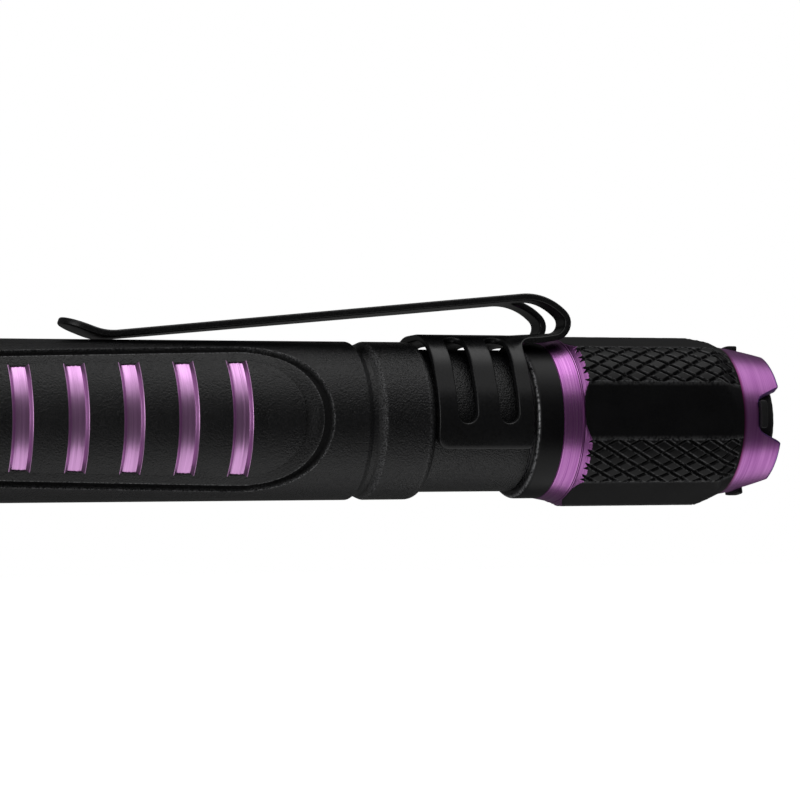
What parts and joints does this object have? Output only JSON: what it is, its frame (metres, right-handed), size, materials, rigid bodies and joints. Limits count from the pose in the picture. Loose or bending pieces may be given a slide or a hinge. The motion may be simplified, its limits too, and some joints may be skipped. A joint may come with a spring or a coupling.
{
  "type": "counterfeit detector pen",
  "caption": "Pen-size ultraviolet torch for checking banknotes, with grooved grip panels, a sprung pocket clip and a crowned tail cap with a push button.",
  "frame": {"origin": "on the pen's axis, in the middle of the plain band of the barrel, between the ring groove and the neck that carries the clip", "axes": "+X along the pen's axis towards the tail button, so the lamp faces -X; +Z from the axis towards the pocket clip; +Y completes a right-handed frame"},
  "size_m": [0.1344, 0.0163, 0.0203],
  "materials": {
    "black_anodise": "bead-blasted black anodise, satin",
    "purple_anodise": "turned purple anodise, bright satin",
    "spring_steel_black": "satin black coating on spring steel",
    "black_rubber": "moulded silicone rubber, matt",
    "o_ring_rubber": "nitrile rubber, slightly greasy",
    "clear_glass": "polished toughened glass",
    "reflector_metal": "vacuum metallised",
    "led_ceramic": "ceramic package with a clear dome",
    "board_white": "white solder mask",
    "board_green": "green solder mask",
    "brass": "turned, bare",
    "gold_spring": "plated spring wire",
    "steel_spring": "bright spring wire",
    "black_plastic": "glass-filled nylon",
    "white_plastic": "acetal",
    "cell_jacket": "plain shrink jacket with steel ends",
    "washer_steel": "stamped steel"
  },
  "bodies": {
    "barrel": {"barrel": "black_anodise", "front_cell": "cell_jacket", "rear_cell": "cell_jacket", "head_shell": "black_anodise", "front_bezel": "purple_anodise", "window_lens": "clear_glass", "window_seal": "o_ring_rubber", "reflector": "reflector_metal", "uv_led": "led_ceramic", "led_board": "board_white", "heat_sink_pill": "brass", "driver_board": "board_green", "front_contact_spring": "gold_spring", "head_o_ring": "o_ring_rubber", "tail_o_ring": "o_ring_rubber"},
    "clip": {"clip_collar": "spring_steel_black"},
    "clip_arm": {"clip_arm": "spring_steel_black"},
    "cap_carrier": {"tail_spring": "gold_spring"},
    "tail_cap": {"tail_cap": "black_anodise", "contact_plate": "brass", "switch_retaining_ring": "brass", "switch_housing": "black_plastic", "switch_return_spring": "steel_spring", "boot_washer": "washer_steel"},
    "button": {"switch_plunger": "white_plastic", "switch_boot": "black_rubber"}
  },
  "joints": [
    {"name": "clip_swivel", "type": "hinge", "parent": "barrel", "child": "clip", "pos_m": [0.0075, 0, 0], "axis": [1, 0, 0], "continuous": true},
    {"name": "clip_flex", "type": "hinge", "parent": "clip", "child": "clip_arm", "pos_m": [0.01234, 0, 0.01194], "axis": [0, 1, 0], "range_deg": [0, 4], "stiffness_Nm_per_rad": 2},
    {"name": "cap_travel", "type": "slide", "parent": "barrel", "child": "cap_carrier", "axis": [1, 0, 0], "range_m": [0, 0.005]},
    {"name": "cap_turn", "type": "hinge", "parent": "cap_carrier", "child": "tail_cap", "pos_m": [0.02, 0, 0], "axis": [1, 0, 0], "range_deg": [0, 1800.1]},
    {"name": "button_press", "type": "slide", "parent": "tail_cap", "child": "button", "axis": [-1, 0, 0], "range_m": [0, 0.0012], "stiffness_N_per_m": 1500, "deforming": ["switch_boot", "switch_return_spring"]}
  ],
  "couplings": [
    {"joint": "cap_turn", "follows": "cap_travel", "rad_per_m": 6283.2}
  ]
}
